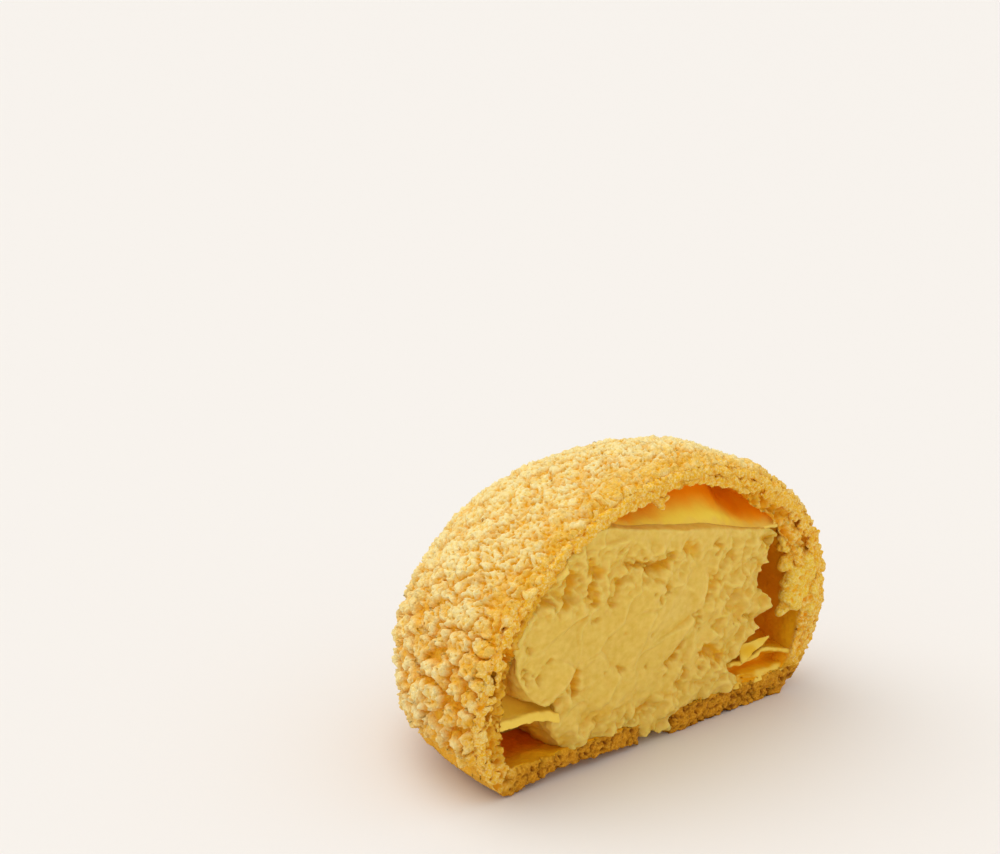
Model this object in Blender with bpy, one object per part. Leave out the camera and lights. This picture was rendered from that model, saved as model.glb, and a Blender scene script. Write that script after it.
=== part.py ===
"""Cut craquelin choux bun with a vanilla custard filling.

The bun stands on its flat base with its centre line on the Z axis. A cut that runs along X, and leans forward
at the top, shows the inside. Three solids: the hollow choux shell with its inner skins, the cracked
craquelin on top of it, and the custard cream in it. Metres, +Z up, the cut face towards -Y.
"""

from math import asin, atan2, cos, pi, radians, sin

import bmesh
import bpy
from mathutils import Matrix, Vector, noise

# Driving dimensions of the bun
bun_radius = 0.0400
bun_height = 0.0500
belly_height = 0.0148
base_radius = 0.0303
dome_power = 1.88
belly_power = 1.75

# The cut: where it meets the floor, and how far it leans forward for each metre of height
cut_y = -0.0021
cut_slope = -0.15

# Layers, from the outside in
craquelin_thickness = 0.0019
fitting_gap = 0.0003
base_thickness = 0.0045

# The hollow leans to the left towards its top, so that the right shoulder is the thick one
hollow_radius = 0.0342
hollow_top = 0.0466
hollow_belly = 0.0150
hollow_foot = 0.0305
hollow_power = 1.95
hollow_lean = -0.0032

# Craquelin plates, with splits between them
plate_count = 368
plate_scatter = 0.18
split_depth = 0.0011
split_share = 0.17
split_ragged = 0.40
plate_crown = 0.0005
plate_step = 0.0005
craquelin_edge_height = 0.0072
craquelin_edge_wave = 0.0016

# Inner skin over the cream, under the air pocket of the dome
skin_thickness = 0.0011
skin_height = 0.0382
skin_fall = -0.294
skin_rise = 0.0085
skin_reach = 0.0165
ledge_thickness = 0.0010
ledge_reach = 0.0125

# Cream front
cream_bulge = 0.0012
cream_lump_size = 0.0088
cream_lump_height = 0.0010
cream_fold_size = 0.0062
cream_fold_depth = 0.0008

# Mesh fineness: steps along one side of a cube that is rounded into a ball
choux_steps = 14
hollow_steps = 12
blob_steps = 5
skin_steps = 16

foot_angle = radians(45)


def clear_scene():
    for thing in list(bpy.data.objects):
        bpy.data.objects.remove(thing, do_unlink=True)


def make_material(name, colour, roughness):
    material = bpy.data.materials.new(name)
    material.use_nodes = True
    shader = material.node_tree.nodes["Principled BSDF"]
    shader.inputs["Base Color"].default_value = (*colour, 1)
    shader.inputs["Roughness"].default_value = roughness
    shader.inputs["Metallic"].default_value = 0.0
    return material


def smooth_step(low, high, value):
    share = min(1.0, max(0.0, (value - low) / (high - low)))
    return share * share * (3 - 2 * share)


def add_object(name, shape):
    """Turns a bmesh into a named object."""
    mesh = bpy.data.meshes.new(name)
    shape.to_mesh(mesh)
    shape.free()
    thing = bpy.data.objects.new(name, mesh)
    bpy.context.scene.collection.objects.link(thing)
    return thing


def as_helper(thing):
    thing.hide_render = True
    thing.display_type = "WIRE"
    return thing


def cut_plane(height):
    """How far back the cut lies at a height."""
    return cut_y + cut_slope * height


def bun_point(direction, radius, top, belly, floor, foot, power=dome_power):
    """The point of a bun-shaped form that lies in a direction from the middle of its belly."""
    around = atan2(direction.y, direction.x)
    rise = asin(max(-1.0, min(1.0, direction.z)))
    if rise >= 0:
        out = radius * max(0.0, cos(rise)) ** (2 / power)
        height = belly + (top - belly) * sin(rise) ** (2 / power)
    else:
        turn = min(1.0, -rise / foot_angle) * pi / 2
        out = foot + (radius - foot) * max(0.0, cos(turn)) ** (2 / belly_power)
        height = belly - (belly - floor) * sin(turn) ** (2 / belly_power)
        if rise < -foot_angle:
            out = foot * (pi / 2 + rise) / (pi / 2 - foot_angle)
    return Vector((out * cos(around), out * sin(around), height))


def bun_form(inset=0.0):
    """Sizes of the bun's skin, moved in by inset except at the flat base."""
    return {
        "radius": bun_radius - inset,
        "top": bun_height - inset,
        "belly": belly_height,
        "floor": 0.0,
        "foot": base_radius - inset / 4,
    }


def hollow_point(direction, gap=0.0):
    """A point on the wall of the hollow, moved in by gap."""
    point = bun_point(
        direction,
        radius=hollow_radius - gap,
        top=hollow_top - gap,
        belly=hollow_belly,
        floor=base_thickness + gap,
        foot=hollow_foot - gap,
        power=hollow_power,
    )
    point.x += hollow_lean * max(0.0, (point.z - hollow_belly) / (hollow_top - hollow_belly))
    return point


def add_ball(name, steps, place):
    """A cube cut into even squares, with each corner put where place() says for its direction."""
    shape = bmesh.new()
    bmesh.ops.create_cube(shape, size=2)
    bmesh.ops.subdivide_edges(shape, edges=shape.edges[:], cuts=steps - 1, use_grid_fill=True)
    for corner in shape.verts:
        # The tangent spreads the squares evenly over the ball
        even = Vector([sin(side * pi / 4) / cos(side * pi / 4) for side in corner.co])
        corner.co = place(even.normalized())
    return add_object(name, shape)


def add_blob(name, x, z, half_sizes, tilt=0.0, behind=0.0):
    """A ball stretched to its half sizes, leaning by tilt, with its middle at x, z behind the cut."""
    turn = Matrix.Rotation(radians(tilt), 3, "Y")
    centre = Vector((x, cut_plane(z) + behind, z))

    def place(direction):
        return centre + turn @ Vector([part * half for part, half in zip(direction, half_sizes)])

    return as_helper(add_ball(name, blob_steps, place))


def add_block(name, across, along, steps, low, high, stand=False):
    """A closed block on a grid whose two wide faces follow low(u, v) and high(u, v).

    Lying, u, v and the faces run along X, Y and Z. Standing, they run along X, Z and Y.
    """
    shape = bmesh.new()
    rows = []
    for level in (low, high):
        grid = []
        for i in range(steps[0] + 1):
            u = across[0] + (across[1] - across[0]) * i / steps[0]
            line = []
            for j in range(steps[1] + 1):
                v = along[0] + (along[1] - along[0]) * j / steps[1]
                w = level(u, v)
                line.append(shape.verts.new((u, w, v) if stand else (u, v, w)))
            grid.append(line)
        rows.append(grid)
    for grid in rows:
        for i in range(steps[0]):
            for j in range(steps[1]):
                shape.faces.new((grid[i][j], grid[i + 1][j], grid[i + 1][j + 1], grid[i][j + 1]))
    rims = [
        [grid[i][0] for i in range(steps[0] + 1)]
        + [grid[steps[0]][j] for j in range(1, steps[1] + 1)]
        + [grid[i][steps[1]] for i in range(steps[0] - 1, -1, -1)]
        + [grid[0][j] for j in range(steps[1] - 1, 0, -1)]
        for grid in rows
    ]
    for k in range(len(rims[0])):
        after = (k + 1) % len(rims[0])
        shape.faces.new((rims[0][k], rims[0][after], rims[1][after], rims[1][k]))
    bmesh.ops.recalc_face_normals(shape, faces=shape.faces[:])
    return as_helper(add_object(name, shape))


def combine(thing, operation, helper):
    step = thing.modifiers.new(f"{operation.lower()} {helper.name}", "BOOLEAN")
    step.operation = operation
    step.object = helper
    step.solver = "EXACT"


def drift(point):
    """A smooth, repeatable nudge for a point."""
    return Vector([noise.noise(point + Vector((shift, 0, 0))) for shift in (0, 31, 57)])


def plate_middles():
    """Directions spread over a ball, each nudged off an even spiral."""
    golden_angle = pi * (3 - 5**0.5)
    middles = []
    for k in range(plate_count):
        height = 1 - (2 * k + 1) / plate_count
        out = (1 - height * height) ** 0.5
        even = Vector((out * cos(k * golden_angle), out * sin(k * golden_angle), height))
        middles.append((even + plate_scatter * drift(even * 9)).normalized())
    return middles


def add_plated_ball(name, place):
    """A ball of raised plates with grooves between them; place() puts a direction and a lift on the bun."""
    hull = bmesh.new()
    for middle in plate_middles():
        hull.verts.new(middle)
    bmesh.ops.convex_hull(hull, input=hull.verts[:])
    bmesh.ops.recalc_face_normals(hull, faces=hull.faces[:])
    hull.faces.index_update()
    shape = bmesh.new()
    groove = {}

    def groove_corner(key, direction):
        if key not in groove:
            groove[key] = (direction, shape.verts.new(place(direction, -split_depth)))
        return groove[key]

    corners = {face: face.calc_center_median().normalized() for face in hull.faces}
    for vert in hull.verts:
        middle = vert.co.normalized()
        side = middle.orthogonal().normalized()
        other = middle.cross(side)
        turns = {face: atan2(corners[face].dot(other), corners[face].dot(side)) for face in vert.link_faces}
        around = sorted(turns, key=turns.get)
        rim = []
        for face, after in zip(around, around[1:] + around[:1]):
            here, there = corners[face], corners[after]
            halfway = (here + there).normalized()
            halfway += split_ragged * noise.noise(halfway * 40) * halfway.cross(there - here)
            rim.append(groove_corner(face.index, here))
            rim.append(groove_corner(frozenset((face.index, after.index)), halfway.normalized()))
        lift = plate_step * noise.noise(middle * 13)
        edge = []
        for direction, _ in rim:
            share = split_share * (1 + 0.7 * noise.noise(direction * 31))
            edge.append(shape.verts.new(place(direction.lerp(middle, share).normalized(), lift)))
        crown = shape.verts.new(place(middle, lift + plate_crown))
        for k in range(len(rim)):
            after = (k + 1) % len(rim)
            shape.faces.new((rim[k][1], rim[after][1], edge[after], edge[k]))
            shape.faces.new((edge[k], edge[after], crown))
    hull.free()
    return add_object(name, shape)


def skin_level(x, y):
    """Height of the middle of the inner skin: it falls to the right and rises to the dome behind."""
    back = max(0.0, (y - cut_plane(skin_height)) / skin_reach)
    wave = 0.0004 * sin(x / 0.0031)
    return skin_height + skin_fall * x + skin_rise * back**1.4 + wave


def cream_front(x, z):
    """Where the front of the cream lies: near the cut, with lumps, short folds and a crowned middle."""
    point = Vector((x, 0.011, z))
    lump = noise.noise(point / cream_lump_size) * cream_lump_height
    nearest, second = noise.voronoi(point / cream_fold_size)[0][:2]
    fold = (1 - smooth_step(0.0, 0.3, second - nearest)) * cream_fold_depth
    from_middle = (x / 0.030) ** 2 + ((z - 0.022) / 0.022) ** 2
    bulge = cream_bulge * max(0.0, 1 - from_middle)
    return cut_plane(z) + 0.0004 - lump + fold - bulge


def add_pockets():
    """The air pockets between cream and shell, on the left and on the right."""
    return [
        add_blob("left_pocket", -0.0286, 0.0122, (0.0066, 0.0130, 0.0096), -14),
        add_blob("left_slit", -0.0331, 0.0235, (0.0017, 0.0080, 0.0052), -10),
        add_blob("right_pocket", 0.0282, 0.0112, (0.0068, 0.0185, 0.0092), -4),
        add_blob("right_slit", 0.0293, 0.0216, (0.0062, 0.0170, 0.0114), -12),
        add_blob("low_pocket", 0.0200, 0.0066, (0.0096, 0.0085, 0.0036), -18),
    ]


def add_ledge(name, across, height, drop, wave, swell=0.0):
    """A short skin across an air pocket, rippled along X, with swell added all round."""
    half = ledge_thickness / 2 + swell

    def middle(x):
        return height + drop * cos((x - across[0]) / wave)

    return add_block(
        name,
        (across[0] - swell, across[1] + swell),
        (cut_plane(height) - 0.002, cut_plane(height) + ledge_reach + swell),
        (8, 4),
        lambda x, y: middle(x) - half,
        lambda x, y: middle(x) + half,
    )


def add_ledges(swell=0.0):
    return [
        add_ledge("left_ledge", (-0.0372, -0.0232), 0.0146, 0.0007, 0.0042, swell),
        add_ledge("right_ledge", (0.0215, 0.0365), 0.0090, 0.0013, 0.0034, swell),
    ]


def add_inner_skins():
    """The thin choux skins that cross the hollow, ending just inside its wall."""
    half = skin_thickness / 2
    side = 0.045
    roof = add_block(
        "roof_skin",
        (-side, side),
        (-side, side),
        (skin_steps, skin_steps),
        lambda x, y: skin_level(x, y) - half,
        lambda x, y: skin_level(x, y) + half,
    )
    keep = as_helper(add_ball("skin_limit", hollow_steps, lambda d: hollow_point(d, gap=-0.0004)))
    skins = [roof, *add_ledges()]
    for skin in skins:
        combine(skin, "INTERSECT", keep)
    return skins


def add_cut():
    """The block that the knife took away."""
    far = 0.060
    return add_block(
        "cut_away",
        (-far, far),
        (-0.010, far),
        (1, 1),
        lambda x, z: -far,
        lambda x, z: cut_plane(z),
        stand=True,
    )


def add_choux_shell(cut):
    form = bun_form(craquelin_thickness)
    shell = add_ball("choux_shell", choux_steps, lambda d: bun_point(d, **form))
    combine(shell, "DIFFERENCE", as_helper(add_ball("hollow", hollow_steps, hollow_point)))
    for skin in add_inner_skins():
        combine(shell, "UNION", skin)
    for name, x, z, half in (
        ("wall_crumb_high", 0.0301, 0.0248, 0.0021),
        ("wall_crumb_middle", 0.0316, 0.0211, 0.0020),
        ("wall_crumb_low", 0.0312, 0.0170, 0.0028),
    ):
        combine(shell, "UNION", add_blob(name, x, z, (half, half * 1.4, half), behind=0.0030))
    for name, x, z, halves in (
        ("base_arch", -0.0160, -0.0010, (0.0150, 0.0052, 0.0027)),
        ("base_gap", 0.0000, 0.0020, (0.0046, 0.0018, 0.0052)),
        ("shoulder_bubble_high", 0.0205, 0.0403, (0.0012, 0.0020, 0.0009)),
        ("shoulder_bubble_low", 0.0262, 0.0345, (0.0011, 0.0020, 0.0015)),
    ):
        combine(shell, "DIFFERENCE", add_blob(name, x, z, halves))
    combine(shell, "DIFFERENCE", cut)
    return shell


def add_craquelin(cut):
    outer, inner = bun_form(), bun_form(craquelin_thickness - fitting_gap)

    def outside(direction, lift):
        point = bun_point(direction, **outer) + direction * lift
        if point.z < craquelin_edge_height / 2:
            point.z -= craquelin_edge_height / 2
        return point

    topping = add_plated_ball("craquelin_topping", outside)
    under = add_ball("choux_room", choux_steps, lambda d: bun_point(d, **inner))
    combine(topping, "DIFFERENCE", as_helper(under))

    def edge(x, y):
        around = Vector((x, y, 0)).normalized() if x or y else Vector()
        return craquelin_edge_height + craquelin_edge_wave * noise.noise(around * 2.6 + Vector((3, 1, 7)))

    far = 0.045
    below = add_block("below_edge", (-far, far), (-far, far), (24, 24), lambda x, y: -0.010, edge)
    combine(topping, "DIFFERENCE", below)
    combine(topping, "DIFFERENCE", cut)
    return topping


def add_custard():
    cream = add_ball("custard_cream", hollow_steps, lambda d: hollow_point(d, gap=fitting_gap))
    side = 0.045
    under_skin = skin_thickness / 2 + fitting_gap
    above = add_block(
        "above_cream",
        (-side, side),
        (-side, side),
        (skin_steps, skin_steps),
        lambda x, y: min(0.055, skin_level(x, y) - under_skin),
        lambda x, y: 0.060,
    )
    combine(cream, "DIFFERENCE", above)
    for room in (*add_pockets(), *add_ledges(fitting_gap)):
        combine(cream, "DIFFERENCE", room)
    drip = add_blob("cream_drip", 0.0, 0.0052, (0.0035, 0.0013, 0.0036), behind=0.0002)
    combine(cream, "UNION", drip)
    front = add_block(
        "cream_front",
        (-0.040, 0.038),
        (-0.004, 0.052),
        (34, 26),
        lambda x, z: -0.050,
        cream_front,
        stand=True,
    )
    combine(cream, "DIFFERENCE", front)
    return cream


def main():
    clear_scene()
    cut = add_cut()
    looks = {
        "choux_shell": ((0.72, 0.45, 0.13), 0.6),
        "craquelin_topping": ((0.80, 0.55, 0.20), 0.8),
        "custard_cream": ((0.86, 0.66, 0.22), 0.4),
    }
    for thing in (add_choux_shell(cut), add_craquelin(cut), add_custard()):
        thing.data.materials.append(make_material(thing.name, *looks[thing.name]))
        thing.data.shade_smooth()
        thing.data.set_sharp_from_angle(angle=radians(45))


main()
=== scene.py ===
from math import cos, pi, radians, sin

import bpy
import numpy as np
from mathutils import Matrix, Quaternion, Vector, noise


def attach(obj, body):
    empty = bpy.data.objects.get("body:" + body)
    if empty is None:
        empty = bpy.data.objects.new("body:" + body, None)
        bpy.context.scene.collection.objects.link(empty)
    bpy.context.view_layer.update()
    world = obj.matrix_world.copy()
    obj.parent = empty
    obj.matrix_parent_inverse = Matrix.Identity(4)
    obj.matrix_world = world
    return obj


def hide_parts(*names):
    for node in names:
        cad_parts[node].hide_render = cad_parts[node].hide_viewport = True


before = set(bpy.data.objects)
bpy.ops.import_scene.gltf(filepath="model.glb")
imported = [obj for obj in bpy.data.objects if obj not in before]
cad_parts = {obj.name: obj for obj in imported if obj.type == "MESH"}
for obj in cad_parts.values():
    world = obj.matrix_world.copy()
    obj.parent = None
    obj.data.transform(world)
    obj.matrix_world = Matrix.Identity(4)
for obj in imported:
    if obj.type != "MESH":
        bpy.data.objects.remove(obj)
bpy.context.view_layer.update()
print("frame loaded")

# Half of a round choux bun, cut side towards -Y. Sizes are metres where nothing says millimetres.
mm = 0.001
bun = {
    "radius": 40.0 * mm,
    "height": 50.0 * mm,
    "belly": 14.8 * mm,
    "foot": 30.3 * mm,
    "domePower": 1.88,
    "bellyPower": 1.75,
    "footAngle": radians(45),
    "cutY": -2.1 * mm,
    "cutSlope": -0.15,
    "crustThickness": 1.9 * mm,
    "baseThickness": 4.5 * mm,
}
hollow = {
    "radius": 34.2 * mm,
    "height": 46.6 * mm,
    "belly": 15.0 * mm,
    "foot": 30.5 * mm,
    "power": 1.95,
    "lean": -3.2 * mm,
}


# Mesh tools

def deselectAll():
    bpy.ops.object.select_all(action="DESELECT")


def selectOnly(thing):
    deselectAll()
    thing.select_set(True)
    bpy.context.view_layer.objects.active = thing


def nameShape(name, thing=None):
    # Names the shape just added, or another one
    thing = thing or bpy.context.object
    thing.name = thing.data.name = name
    return thing


def readValues(items, name, width, kind=np.float32):
    values = np.empty(len(items) * width, kind)
    items.foreach_get(name, values)
    return values.reshape(-1, width)


def readPoints(thing):
    return readValues(thing.data.vertices, "co", 3).astype(float)


def readNormals(thing):
    return readValues(thing.data.vertex_normals, "vector", 3).astype(float)


def writePoints(thing, points):
    thing.data.vertices.foreach_set("co", points.astype(np.float32).ravel())
    thing.data.update()


def emptyMasks(points, *names):
    return {name: np.zeros(len(points)) for name in names}


def storeMasks(thing, masks):
    for name, values in masks.items():
        layer = thing.data.attributes.new(name, "FLOAT", "POINT")
        layer.data.foreach_set("value", np.clip(values, 0, 1).astype(np.float32))


def ramp(low, high, values):
    # Smoothly from 0 at low to 1 at high
    share = np.clip((values - low) / (high - low), 0, 1)
    return share * share * (3 - 2 * share)


def between(low, high, values):
    # The same, for limits in millimetres and values in metres
    return ramp(low * mm, high * mm, values)


def noiseAt(points, size, shift=0.0):
    # Smooth noise from -1 to 1, with lumps about that many millimetres across
    return np.array([noise.noise(spot) for spot in (points / (size * mm) + shift).tolist()])


def driftAt(points, size, reach, shift=0.0):
    # Ways to move points by up to a reach in millimetres, so that straight edges wander
    drift = np.stack([noiseAt(points, size, shift + step) for step in (0.0, 31.4, 57.7)], axis=1)
    return reach * mm * drift


def cellsAt(points, size, shift=0.0):
    # For each point: how near the middle of its cell is, how much further the next one is (the gap),
    # a tone for the cell, and the way from its middle
    near, gap = np.empty(len(points)), np.empty(len(points))
    spots = points / size + shift
    middles = np.empty_like(spots)
    for k, spot in enumerate(spots.tolist()):
        distances, places = noise.voronoi(spot)
        near[k], gap[k] = distances[0], distances[1] - distances[0]
        middles[k] = places[0]
    tone = (middles @ [12.9898, 78.233, 37.719]) % 1.0  # uneven numbers, so that neighbours differ
    return {"near": near * size, "gap": gap * size, "tone": tone, "away": (spots - middles) * size}


def domeOn(cells, radius, lowest):
    # A dome on each cell: 1 at its middle, 0 at the radius, and below 0 between the cells
    return (1 - (cells["near"] / radius) ** 2).clip(lowest, 1)


def cutPlane(height):
    return bun["cutY"] + bun["cutSlope"] * height


def behindCut(points):
    return points[:, 1] - cutPlane(points[:, 2])


def formPoints(directions, radius, top, belly, floor, foot, power):
    # Points of a bun-shaped form that lie in these directions from the middle of its belly
    around = np.arctan2(directions[:, 1], directions[:, 0])
    rise = np.arcsin(np.clip(directions[:, 2], -1, 1))
    up, down = np.clip(rise, 0, pi / 2), np.clip(-rise / bun["footAngle"], 0, 1) * pi / 2
    out = np.where(
        rise >= 0,
        radius * np.cos(up).clip(0) ** (2 / power),
        foot + (radius - foot) * np.cos(down).clip(0) ** (2 / bun["bellyPower"]),
    )
    height = np.where(
        rise >= 0,
        belly + (top - belly) * np.sin(up) ** (2 / power),
        belly - (belly - floor) * np.sin(down) ** (2 / bun["bellyPower"]),
    )
    under = rise < -bun["footAngle"]
    out = np.where(under, foot * (pi / 2 + rise) / (pi / 2 - bun["footAngle"]), out)
    return np.stack([out * np.cos(around), out * np.sin(around), height], axis=1)


def bunPoints(directions, inset=0.0):
    return formPoints(directions, bun["radius"] - inset, bun["height"] - inset, bun["belly"], 0.0,
                      bun["foot"] - inset / 4, bun["domePower"])


def hollowPoints(directions, gap=0.0):
    points = formPoints(directions, hollow["radius"] - gap, hollow["height"] - gap, hollow["belly"],
                        bun["baseThickness"] + gap, hollow["foot"] - gap, hollow["power"])
    rise = (points[:, 2] - hollow["belly"]) / (hollow["height"] - hollow["belly"])
    points[:, 0] += hollow["lean"] * rise.clip(0)
    return points


def depthUnder(points):
    # How far points lie inside the bun's outer form, roughly
    out = np.hypot(points[:, 0], points[:, 1])
    up = (points[:, 2] - bun["belly"]).clip(0) / (bun["height"] - bun["belly"])
    power = bun["domePower"]
    dome = ((out / bun["radius"]) ** power + up ** power) ** (1 / power)
    down = (bun["belly"] - points[:, 2]).clip(0) / bun["belly"]
    power = bun["bellyPower"]
    side = ((out - bun["foot"]).clip(0) / (bun["radius"] - bun["foot"])) ** power + down ** power
    low = (1 - side.clip(0) ** (1 / power)) * (bun["radius"] - bun["foot"])
    return np.where(points[:, 2] > bun["belly"], (1 - dome) * bun["radius"], low)


def addForm(name, place):
    # An ico sphere whose points are put on a form
    deselectAll()
    bpy.ops.mesh.primitive_ico_sphere_add(subdivisions=6, radius=1)
    thing = nameShape(name)
    writePoints(thing, place(readPoints(thing)))
    return thing


def addBlob(name, x, z, halfSizes, tilt=0.0):
    # A stretched ball, its middle on the cut
    deselectAll()
    bpy.ops.mesh.primitive_ico_sphere_add(
        subdivisions=4, radius=1, location=(x, cutPlane(z), z), rotation=(0, radians(tilt), 0),
        scale=halfSizes)
    bpy.ops.object.transform_apply(location=True, rotation=True, scale=True)
    return nameShape(name)


def applyModifier(thing, kind, **values):
    selectOnly(thing)
    modifier = thing.modifiers.new(kind.lower(), kind)
    for name, value in values.items():
        setattr(modifier, name, value)
    bpy.ops.object.modifier_apply(modifier=modifier.name)


def carve(thing, helper, operation="DIFFERENCE"):
    applyModifier(thing, "BOOLEAN", operation=operation, object=helper, solver="EXACT")
    bpy.data.objects.remove(helper, do_unlink=True)


def copyOf(thing, name):
    twin = thing.copy()
    twin.data = thing.data.copy()
    bpy.context.scene.collection.objects.link(twin)
    return nameShape(name, twin)


def joinAll(things):
    selectOnly(things[0])
    for other in things[1:]:
        other.select_set(True)
    bpy.ops.object.join()
    return things[0]


def bisectMesh(thing, point, normal):
    # Takes away what lies on the side that the normal points to, and closes the mesh
    selectOnly(thing)
    bpy.ops.object.mode_set(mode="EDIT")
    bpy.ops.mesh.select_all(action="SELECT")
    bpy.ops.mesh.bisect(plane_co=point, plane_no=normal, use_fill=True, clear_outer=True)
    bpy.ops.object.mode_set(mode="OBJECT")


def cutHalf(thing, behind=0.0):
    bisectMesh(thing, (0, bun["cutY"] + behind, 0), Vector((0, -1, bun["cutSlope"])).normalized())


def extrudeShut(offset):
    # Draws the open shape that is active out into a closed one, with its faces outwards
    bpy.ops.object.mode_set(mode="EDIT")
    bpy.ops.mesh.select_all(action="SELECT")
    bpy.ops.mesh.extrude_region_move(TRANSFORM_OT_translate={"value": offset})
    bpy.ops.mesh.select_all(action="SELECT")
    bpy.ops.mesh.normals_make_consistent(inside=False)
    bpy.ops.object.mode_set(mode="OBJECT")


def hollowAt(thing, passes=6):
    # How far each point lies below its surroundings, in metres
    edges = readValues(thing.data.edges, "vertices", 2, np.int32)
    first, second = edges.T
    points, normals = readPoints(thing), readNormals(thing)
    total = len(points)
    count = np.bincount(edges.ravel(), minlength=total).clip(1)
    smooth = points.copy()
    for step in range(passes):
        for axis in range(3):
            values = smooth[:, axis]
            around = np.bincount(first, values[second], total) + np.bincount(second, values[first], total)
            smooth[:, axis] = 0.4 * values + 0.6 * around / count
    return ((smooth - points) * normals).sum(axis=1)


def voxelSize(fine):
    return (fine) * mm


def remesh(thing, size):
    applyModifier(thing, "REMESH", mode="VOXEL", voxel_size=size, use_smooth_shade=True)


def countTriangles(thing):
    return int((readValues(thing.data.polygons, "loop_total", 1, np.int32) - 2).sum())


def thinOut(thing, weights, most):
    # Fewer faces where the weight is over a half, down to a number of triangles
    group = thing.vertex_groups.new(name="thin")
    group.add(np.flatnonzero(weights > 0.5).tolist(), 1.0, "REPLACE")
    share = min(1.0, most / countTriangles(thing))
    applyModifier(thing, "DECIMATE", ratio=share, vertex_group="thin", vertex_group_factor=1000)
    thing.vertex_groups.clear()


def finishPiece(thing, name, material, replaced=None):
    nameShape(name, thing)
    thing.data.materials.clear()
    thing.data.materials.append(material)
    thing.data.shade_smooth()
    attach(thing, "root")
    if replaced:
        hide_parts(replaced)
    print(name, countTriangles(thing), "triangles")


# Material tools

def addNode(tree, kind, inputs=None, **values):
    node = tree.nodes.new(kind)
    for name, value in values.items():
        setattr(node, name, value)
    for name, value in (inputs or {}).items():
        if isinstance(value, bpy.types.NodeSocket):
            tree.links.new(value, node.inputs[name])
        else:
            node.inputs[name].default_value = value
    return node


def mixColours(tree, share, first, second):
    node = addNode(tree, "ShaderNodeMix", data_type="RGBA")
    for socket, value in ((node.inputs[0], share), (node.inputs[6], first), (node.inputs[7], second)):
        if isinstance(value, bpy.types.NodeSocket):
            tree.links.new(value, socket)
        else:
            socket.default_value = value if isinstance(value, float) else (*value, 1)
    return node.outputs[2]


def tint(tree, colour, mask, over, low=0.0, high=1.0, most=1.0):
    # Lays a colour over another one where a mask of the mesh goes from low to high
    value = addNode(tree, "ShaderNodeAttribute", attribute_name=mask).outputs["Fac"]
    return mixColours(tree, rangeNode(tree, value, low, high, 0.0, most), colour, over)


def speckle(tree, grain, low, high, dark, pale):
    return mixColours(tree, rangeNode(tree, grain.outputs["Tone"], low, high), dark, pale)


def rangeNode(tree, value, low, high, start=0.0, end=1.0):
    inputs = {"Value": value, "From Min": low, "From Max": high, "To Min": start, "To Max": end}
    return addNode(tree, "ShaderNodeMapRange", inputs).outputs[0]


def grainGroup():
    # Fine sandy grain: a height for bump and a mask for tone, at a given size
    group = bpy.data.node_groups.new("fineGrain", "ShaderNodeTree")
    for name, value in (("Size", 1600.0), ("Roughness", 0.6)):
        socket = group.interface.new_socket(name, in_out="INPUT", socket_type="NodeSocketFloat")
        socket.default_value = value
    for name in ("Height", "Tone"):
        group.interface.new_socket(name, in_out="OUTPUT", socket_type="NodeSocketFloat")
    source, target = group.nodes.new("NodeGroupInput"), group.nodes.new("NodeGroupOutput")
    place = addNode(group, "ShaderNodeTexCoord").outputs["Object"]
    cloud = addNode(group, "ShaderNodeTexNoise", {
        "Vector": place, "Scale": source.outputs["Size"], "Detail": 4.0,
        "Roughness": source.outputs["Roughness"]})
    grains = addNode(group, "ShaderNodeTexVoronoi", {"Vector": place, "Scale": source.outputs["Size"]})
    both = addNode(group, "ShaderNodeMath", {0: cloud.outputs[0], 1: grains.outputs["Distance"]},
                   operation="SUBTRACT")
    group.links.new(both.outputs[0], target.inputs["Height"])
    group.links.new(cloud.outputs[0], target.inputs["Tone"])
    return group


fineGrain = grainGroup()


def grainNode(tree, size, roughness=0.6):
    node = addNode(tree, "ShaderNodeGroup", node_tree=fineGrain)
    node.inputs["Size"].default_value = size
    node.inputs["Roughness"].default_value = roughness
    return node


def newMaterial(name, roughness, specular):
    material = bpy.data.materials.new(name)
    material.use_nodes = True
    tree = material.node_tree
    shader = tree.nodes["Principled BSDF"]
    shader.inputs["Roughness"].default_value = roughness
    shader.inputs["Specular IOR Level"].default_value = specular
    return material, tree, shader


def finishShader(tree, shader, colour, grain, strength, distance):
    tree.links.new(colour, shader.inputs["Base Color"])
    bump = addNode(tree, "ShaderNodeBump",
                   {"Height": grain.outputs["Height"], "Strength": strength, "Distance": distance})
    tree.links.new(bump.outputs[0], shader.inputs["Normal"])


def craquelinMaterial():
    material, tree, shader = newMaterial("craquelinSugar", 0.9, 0.05)
    grain, sand = grainNode(tree, 1900), grainNode(tree, 2600)
    colour = speckle(tree, grain, 0.35, 0.65, (0.93, 0.64, 0.15), (0.98, 0.79, 0.30))
    # Random tone, with a painted highlight on the crests and clump tops
    colour = tint(tree, colour, "tone", (0.99, 0.85, 0.44), 0.3, 0.85, 0.7)
    # Painted shade, warm and darker, by the cut, in a band at mid height and by the foot
    colour = tint(tree, colour, "warmShade", (0.88, 0.49, 0.02), 0.1, 1.0, 0.75)
    crystals = rangeNode(tree, sand.outputs["Tone"], 0.56, 0.7, 0.0, 0.7)
    colour = mixColours(tree, crystals, colour, (1.0, 0.90, 0.58))
    # Dark cracks, with painted shade in the hollows and between the clumps
    colour = tint(tree, colour, "crack", (0.88, 0.40, 0.003), 0.15, 0.75, 0.92)
    torn = speckle(tree, sand, 0.42, 0.66, (0.93, 0.51, 0.03), (0.99, 0.75, 0.27))
    # Painted shade in the dips and hollows of the torn crumb
    torn = tint(tree, torn, "torn", (0.90, 0.36, 0.004), 0.2, 0.85)
    colour = tint(tree, colour, "cut", torn)
    finishShader(tree, shader, colour, grain, 0.8, 0.0003)
    return material


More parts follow.
